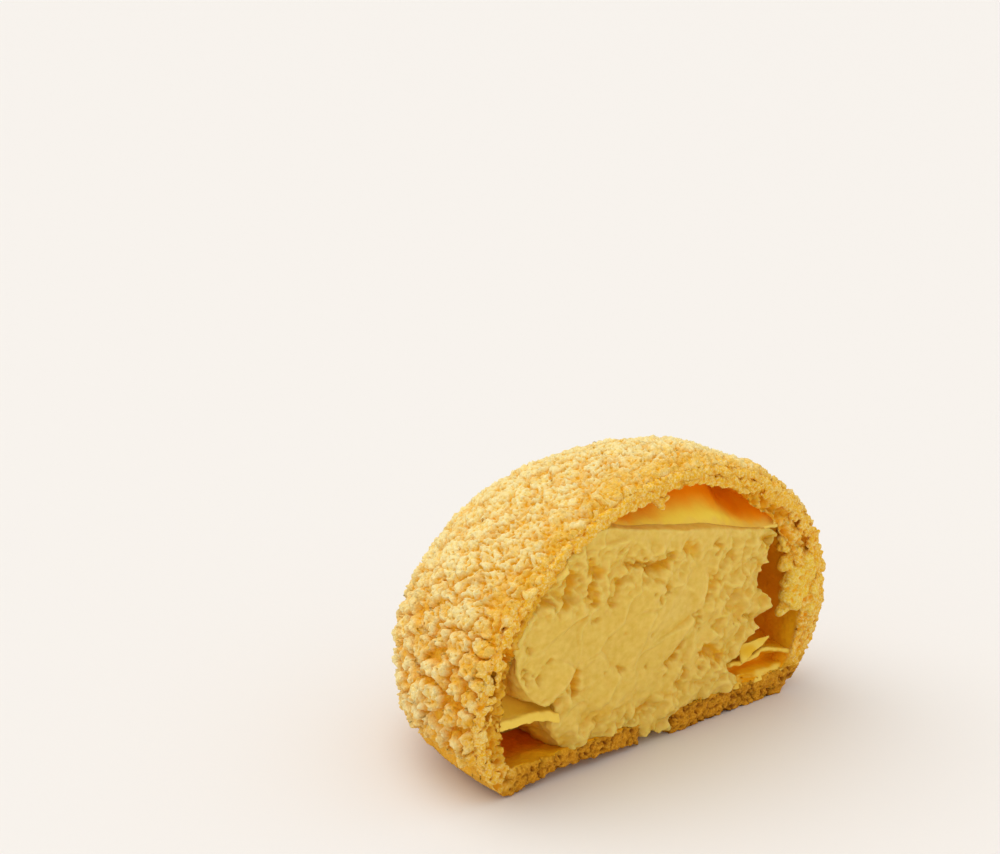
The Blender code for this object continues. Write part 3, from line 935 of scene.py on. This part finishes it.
def makeCustard():
    back = addForm("custardBack", lambda d: hollowPoints(d, -0.1 * mm))
    thing = copyOf(back, "custardFront")
    cutHalf(back, custard["reach"])
    outline = roundedOutline(custard["outline"])
    carve(thing, addOutline("custardOutline", outline, custard["outlineDeep"]), "INTERSECT")
    carve(thing, addOutline("custardDrip", custard["drip"], custard["dripDeep"]), "UNION")
    carve(thing, back, "UNION")
    carve(thing, addRoofBlock())
    remesh(thing, custard["voxel"])
    applyModifier(thing, "SMOOTH", factor=0.5, iterations=6)
    points, normals = readPoints(thing), readNormals(thing)
    behind = behindCut(points)
    live = np.flatnonzero(behind < custard["carved"])
    spots, near = points[live], behind[live]
    face = 1 - between(0.3, 1.4, near)
    lift, crease = custardRelief(spots)
    top = 1 - between(0.2, 2.0, roofLevel(spots[:, 0], cutPlane(spots[:, 2])) - spots[:, 2])
    side = (1 - face) * (1 - between(9, 12, near))
    side *= 1 - between(-1.6, -0.5, spots[:, 2] - roofLevel(spots[:, 0], spots[:, 1]))
    lumps = (0.9 * noiseAt(spots, 5, 108.0) + 0.4 * noiseAt(spots, 2.6, 100.0)
             + 0.3 * noiseAt(spots, 1.1, 104.0))
    ragged = (noiseAt(spots, 2.1, 220.0) + 0.4 * noiseAt(spots, 0.9, 225.0)) * mm
    moved = points.copy()
    moved[live] += normals[live] * (lumps * mm * side)[:, None]
    moved[live, 1] -= lift * (1 - 0.6 * top) * face
    moved[live, 0] += ragged * between(15, 20, spots[:, 0])
    writePoints(thing, moved)
    # Painted shade in the creases, pits, hollows and on the sides set back from the cut
    sunk = hollowAt(thing, 9) / mm
    pit = np.zeros(len(points))
    pit[live] = np.maximum(crease * face, side * between(1, 6, near))
    pit[live] = np.maximum(pit[live], 0.7 * ramp(0.05, 0.3, sunk[live])) * (1 - top)
    # Painted highlight on the convex crests near the cut
    ridgeHighlight = ramp(0.03, 0.22, -sunk) * (1 - between(0.5, 3, behind))
    storeMasks(thing, {"pit": pit, "ridgeHighlight": ridgeHighlight})
    thinOut(thing, between(12, 15, behind), custard["most"])
    finishPiece(thing, "custard_filling", vanillaCustard, "custard_cream")


makeCustard()


# The thin inner skins

def addSheet(name, sheet, level):
    # A thin rippled sheet with real thickness; level() takes x and how far back, from 0 to 1
    deselectAll()
    (wide, deep), (left, right) = sheet["steps"], sheet["span"]
    bpy.ops.mesh.primitive_grid_add(x_subdivisions=wide, y_subdivisions=deep, size=1)
    thing = nameShape(name)
    points = readPoints(thing)
    writePoints(thing, level(left + (right - left) * (points[:, 0] + 0.5), points[:, 1] + 0.5))
    applyModifier(thing, "SOLIDIFY", thickness=sheet["thickness"], offset=0)
    return thing


def shadeBehind(sheet, points):
    # Painted shade: the deep colour comes in towards the back, darker and redder deeper in the hollow
    reach = sheet["fullShadeBehind"]
    deep = ramp(0.35 * reach, reach, behindCut(points) + 0.25 * reach * noiseAt(points, 5))
    return np.maximum(deep, sheet.get("leastShade", 0))


def shadeAbove(sheet, points):
    # Painted shade: the deep colour starts at a height over the line of the cut, darker higher in the dome
    start = np.interp(points[:, 0] / mm, sheet["shadeAcross"], sheet["shadeFrom"]) * mm
    rise = points[:, 2] - roofLine(points[:, 0])
    return between(-1.6, 1.5, rise - start + 0.9 * mm * noiseAt(points, 4))


def finishSkin(thing, name, sheet, shadeAt=shadeBehind, material=wetInnerSkin):
    # Keeps a sheet inside the shell, ripples it, and marks its lip and its painted shade (the deep colour)
    remesh(thing, voxelSize(0.24))
    applyModifier(thing, "SMOOTH", factor=0.5, iterations=5)
    carve(thing, addForm("skinLimit", lambda d: hollowPoints(d, -0.6 * mm)), "INTERSECT")
    points, normals = readPoints(thing), readNormals(thing)
    behind = behindCut(points)
    lift = 0.3 * mm * noiseAt(points, 1.7, 200.0) + 0.12 * mm * noiseAt(points, 0.7, 205.0)
    lift *= 1 - between(0.3, 1.6, behind) * 0.9
    writePoints(thing, points + normals * lift[:, None])
    lip = 1 - ramp(0.2 * sheet["lip"], sheet["lip"], behind + 0.9 * mm * noiseAt(points, 1.6))
    storeMasks(thing, {"edge": np.maximum(lip, sheet.get("leastLip", 0)), "deep": shadeAt(sheet, points)})
    finishPiece(thing, name, material)


def rippled(x, size, shift):
    return noiseAt(np.stack([x, x * 0, x * 0], axis=1), size, shift)


def makeRoofSkin():
    def level(x, back):
        front = cutPlane(roofLine(x)) + roof["setBack"] + 0.6 * mm * rippled(x, 2.2, 4.0)
        y = front + (roof["back"] - front) * back
        sink = roof["sink"] * (1 - between(0, 2, y - front))
        return np.stack([x, y, roofLevel(x, y) - sink], axis=1)

    finishSkin(addSheet("roofSkin", roof, level), "roof_skin", roof, shadeAbove, roofMembrane)


# A thick bowl of wet choux between the left wall and the custard
ledge = {
    "span": (-0.0375, -0.0215),
    "front": cutPlane(0.0135) + 0.3 * mm,
    "height": 13.3 * mm,
    "slope": -0.08,
    "slopeFrom": -0.034,
    "sag": 0.9 * mm,  # beside the custard
    "sagFrom": -0.026,
    "rise": 7.5 * mm,  # at the back
    "deep": 0.0095,
    "steps": (90, 80),
    "thickness": 1.6 * mm,
    "lip": 2.2 * mm,
    "leastLip": 0.4,
    # How far back the painted shade is full
    "fullShadeBehind": 7.5 * mm,
}


def makeLedge():
    def level(x, back):
        wave = (1 - ramp(0, 0.2, back)) * 0.5 * mm * rippled(x, 2.6, 14.0)
        y = ledge["front"] + ledge["deep"] * back + wave
        z = ledge["height"] + ledge["slope"] * (x - ledge["slopeFrom"])
        z += ledge["rise"] * back ** 1.82 - ledge["sag"] * ramp(ledge["sagFrom"], ledge["span"][1], x)
        flat = np.stack([x, y, x * 0], axis=1)
        return np.stack([x, y, z + noiseAt(flat, 3, 5.0) * 0.4 * mm], axis=1)

    finishSkin(addSheet("leftLedge", ledge, level), "left_ledge", ledge)


# Wet choux that closes the lower right: a lobe under the custard, a cup, and a curled edge above it. Its
# profile runs back in steps, with how far behind the cut and how high each lies, in millimetres.
web = {
    "span": (0.0108, 0.0372),
    "profile": [0.0, 0.12, 0.26, 0.38, 0.46, 0.54, 0.75, 1.0],
    "setBack": [0.3, 1.2, 4.8, 3.6, 0.5, 1.4, 5.5, 12.0],
    "heights": [3.4, 5.0, 5.8, 8.2, 9.3, 9.1, 9.4, 12.5],
    "across": [11, 15, 21, 26, 30, 34, 38],
    "lifts": [0.5, 0.2, -0.9, 0.2, -0.9, -2.4, -3.2],
    "lobeBack": 2.0,
    "smallHole": (16.8 * mm, 8.7 * mm, (1.2 * mm, 2.2 * mm, 0.7 * mm), 10),
    "slot": (22.4 * mm, 5.0 * mm, (2.5 * mm, 1.8 * mm, 0.7 * mm), 8),
    "steps": (130, 140),
    "voxel": 0.26 * mm,
    "thickness": 0.75 * mm,
    "lip": 1.5 * mm,
    # How far back the painted shade is full, and how much of it lies everywhere on the web
    "fullShadeBehind": 4.0 * mm,
    "leastShade": 0.3,
}


def makeLowerWeb():
    def level(x, back):
        lobe = web["lobeBack"] * (1 - between(15.5, 21, x)) * (1 - ramp(0.3, 0.5, back))
        y = np.interp(back, web["profile"], web["setBack"]) + lobe
        lift = np.interp(x / mm, web["across"], web["lifts"]) * ramp(0.1, 0.45, back)
        z = np.interp(back, web["profile"], web["heights"]) + lift
        points = np.stack([x, cutPlane(z * mm) + y * mm, z * mm], axis=1)
        fine = driftAt(points, 1.1, 0.15, 115.0)
        return points + driftAt(points, 2.6, 0.45, 110.0) + fine

    thing = addSheet("lowerWeb", web, level)
    remesh(thing, web["voxel"])
    for hole in ("smallHole", "slot"):
        carve(thing, addBlob(hole, *web[hole]))
    finishSkin(thing, "lower_web", web)


# A torn splinter that stands up between custard and wall: x, how far behind the cut, and z, at its foot,
# along it and across it, in millimetres
shard = {
    "foot": (20.4, 0.9, 10.0),
    "along": (6.0, -0.6, 1.8),
    "across": (0.0, 1.4, 3.0),
    "taper": 0.93,
    "span": (0, 1),
    "steps": (14, 14),
    "thickness": 0.6 * mm,
}


def makeShard():
    def level(along, back):
        across = (back - 0.5) * (1 - shard["taper"] * along)
        points = shard["foot"] + along[:, None] * shard["along"] + across[:, None] * shard["across"]
        points *= mm
        points[:, 1] += cutPlane(points[:, 2])
        return points + driftAt(points, 1.5, 0.3, 120.0)

    thing = addSheet("shard", shard, level)
    points = readPoints(thing)
    pale = ramp(0.2, 0.9, noiseAt(points, 2) + 0.5)
    storeMasks(thing, {**emptyMasks(points, "deep"), "edge": pale})
    finishPiece(thing, "torn_shard", wetInnerSkin)


makeRoofSkin()
makeLedge()
makeLowerWeb()
makeShard()

# Clusters of crumb: x, z, how far behind the cut, and radius, in millimetres. Each is made of small
# grains. More grains lie along the rim, on a line of x and z, in two spans of its length.
crumbs = {
    "rightWall": [
        (29.2, 27.6, 1.6, 1.1), (31.3, 26.0, 1.1, 1.4), (33.6, 24.2, 0.9, 1.5), (30.4, 24.3, 1.6, 1.3),
        (32.2, 22.6, 0.9, 1.6), (34.6, 21.4, 0.8, 1.6), (31.0, 20.6, 1.4, 1.6), (32.9, 19.2, 0.7, 1.8),
        (35.8, 18.0, 0.8, 1.5), (30.9, 17.4, 1.1, 1.7), (33.2, 16.2, 0.9, 1.5), (35.4, 15.4, 0.9, 1.4),
        (37.0, 16.6, 0.7, 1.3), (35.4, 12.9, 1.0, 1.0), (27.9, 29.2, 1.3, 0.9), (36.9, 13.4, 0.9, 1.0),
        (37.6, 19.8, 0.8, 1.1), (36.5, 23.3, 0.8, 1.1), (29.9, 15.6, 1.2, 0.9),
    ],
    "ceilingFlap": [
        (-6.6, 46.2, 0.8, 1.1), (-5.2, 45.3, 0.7, 1.0), (-3.9, 44.2, 0.6, 0.9), (-2.9, 43.3, 0.6, 0.7),
        (-2.3, 44.5, 0.6, 0.7), (-7.9, 45.6, 0.7, 0.8), (-4.4, 46.5, 1.0, 1.0),
    ],
    "leftRim": [
        (-36.9, 21.4, 0.7, 1.4), (-37.5, 17.3, 0.7, 1.3), (-37.7, 13.1, 0.7, 1.5), (-37.1, 9.2, 0.7, 1.3),
        (-29.9, 35.2, 0.7, 1.4), (-27.8, 36.8, 0.7, 1.3), (-35.7, 6.0, 0.7, 1.1), (-23.4, 40.2, 0.7, 1.2),
    ],
    "grains": 10,  # in each cluster
    "spread": 0.75,
    "smallest": 0.34,
    "seed": 11,
    "rim": [
        (-33.6, 1.1), (-37.8, 7), (-38.9, 12.3), (-38.5, 16.8), (-37.5, 21.9), (-35.9, 26.9), (-35.3, 29.5),
        (-31.2, 34.8), (-27.6, 38.2), (-23.5, 41.7), (-17.7, 44.6), (-14.2, 46.2), (-8, 46.7), (1.3, 48.7),
        (8.1, 46.8), (15.3, 44.4), (22.7, 41.1), (29.2, 36.6), (35.6, 29.7), (38.9, 22.2), (39.5, 13.7),
        (37.3, 6.4), (33.7, 1.8),
    ],
    "rimSpans": [(171, 0.02, 0.4), (599, 0.36, 0.985)],  # how many grains, from where to where
    "rimMiddle": 16.0,
    "leastHeight": 3.0,
    "thinSpan": (-2, 15),
    "thinInward": 2.2,
    "voxel": 0.26 * mm,
}


def addGrain(x, z, behind, radius):
    deselectAll()
    bpy.ops.mesh.primitive_ico_sphere_add(
        subdivisions=2, radius=radius * mm, location=(x * mm, cutPlane(z * mm) + behind * mm, z * mm))
    return bpy.context.object


def finishCrumb(grains, name, material):
    thing = joinAll(grains)
    bpy.ops.object.transform_apply(location=True, rotation=True, scale=True)
    remesh(thing, crumbs["voxel"])
    points, normals = readPoints(thing), readNormals(thing)
    lift = (0.3 * noiseAt(points, 1.1, 135.0) + 0.14 * noiseAt(points, 0.5, 140.0)) * mm
    writePoints(thing, points + normals * lift[:, None])
    # Painted shade in the hollows between grains and on grains set back behind the cut
    sunk = ramp(-0.01, 0.12, hollowAt(thing) / mm)
    storeMasks(thing, {"recessShade": np.maximum(sunk, between(0.6, 2.6, behindCut(points)))})
    finishPiece(thing, name, material)


def makeClusters(name, lumps, material, largest=0.7):
    chance = np.random.default_rng(crumbs["seed"])
    grains = []
    for x, z, behind, radius in lumps:
        for step in range(crumbs["grains"]):
            away = chance.normal(size=3)
            away *= radius * crumbs["spread"] * chance.random() ** 0.4 / np.linalg.norm(away)
            size = radius * chance.uniform(crumbs["smallest"], largest)
            grains.append(addGrain(x + away[0], z + away[2], behind + away[1] * 0.9, size))
    finishCrumb(grains, name, material)


def makeRim():
    # Toasted grains along the torn edge of the dome
    chance = np.random.default_rng(crumbs["seed"] + 1)
    rim, grains = np.array(crumbs["rim"]), []
    lengths = np.r_[0, np.cumsum(np.linalg.norm(np.diff(rim, axis=0), axis=1))]
    for count, start, end in crumbs["rimSpans"]:
        for step in range(count):
            along = lengths[-1] * chance.uniform(start, end)
            inward = chance.uniform(0.5, 2.9 if along > 0.55 * lengths[-1] else 2.3)
            x, z = (np.interp(along, lengths, rim[:, k]) for k in (0, 1))
            if crumbs["thinSpan"][0] < x < crumbs["thinSpan"][1]:
                inward = min(inward, crumbs["thinInward"])
            out = np.array([x, z - crumbs["rimMiddle"]]) / np.hypot(x, z - crumbs["rimMiddle"])
            x, z = x - out[0] * inward, z - out[1] * inward
            if z > crumbs["leastHeight"]:
                grains.append(addGrain(x, z, chance.uniform(0.0, 0.45), chance.uniform(0.28, 0.6)))
    finishCrumb(grains, "rim_crumb", toastedCrumb)


makeClusters("wall_crumb", crumbs["rightWall"], moistCrumb, 0.95)
makeClusters("ceiling_flap", crumbs["ceilingFlap"], toastedCrumb)
makeClusters("left_rim", crumbs["leftRim"], sugarCrumb, 0.5)
makeRim()

# Floor, light and camera
view = {
    "place": (-0.28702, -0.29756, 0.18116),
    "azimuth": -40.879,
    "elevation": 17.085,
    "roll": -1.137,
    "lens": 97.63,
    "sensor": 36,
    "clip": (0.01, 50),
}
room = {
    "floorSize": 12,
    "floorLevel": -0.00005,
    "floorColour": (0.832, 0.806, 0.776),
    "sky": (1.0, 0.985, 0.965),
    "skyPower": 0.82,
    "window": (-0.22, 0.30, 0.92),
    "windowPower": 1.06,
    "windowSpread": 65,
}


def makeFloor():
    deselectAll()
    bpy.ops.mesh.primitive_plane_add(size=room["floorSize"], location=(0, 0, room["floorLevel"]))
    floor = nameShape("floor")
    material, _, shader = newMaterial("paleFloor", 0.7, 0.2)
    shader.inputs["Base Color"].default_value = (*room["floorColour"], 1)
    floor.data.materials.append(material)


def placeInRoom(name, data, place, turn):
    thing = bpy.data.objects.new(name, data)
    thing.location = place
    thing.rotation_mode = "QUATERNION"
    thing.rotation_quaternion = turn
    bpy.context.scene.collection.objects.link(thing)
    return thing


def addWindow():
    # Soft light from high at the back left
    lamp = bpy.data.lights.new("window", "SUN")
    lamp.energy, lamp.angle, lamp.color = room["windowPower"], radians(room["windowSpread"]), room["sky"]
    placeInRoom("window", lamp, room["window"], Vector(room["window"]).to_track_quat("Z", "Y"))


def makeCamera():
    azimuth, elevation = radians(view["azimuth"]), radians(view["elevation"])
    back = Vector((sin(azimuth) * cos(elevation), -cos(azimuth) * cos(elevation), sin(elevation)))
    lens = bpy.data.cameras.new("camera")
    lens.lens, lens.sensor_width = view["lens"], view["sensor"]
    lens.clip_start, lens.clip_end = view["clip"]
    turn = (-back).to_track_quat("-Z", "Y") @ Quaternion((0, 0, 1), radians(view["roll"]))
    bpy.context.scene.camera = placeInRoom("camera", lens, view["place"], turn)


def makeWorld():
    world = bpy.data.worlds.new("softRoom")
    world.use_nodes = True
    background = world.node_tree.nodes["Background"]
    background.inputs[0].default_value = (*room["sky"], 1)
    background.inputs[1].default_value = room["skyPower"]
    bpy.context.scene.world = world


makeFloor()
addWindow()
makeWorld()
makeCamera()
bpy.context.scene.view_settings.view_transform = "Standard"

print("done")
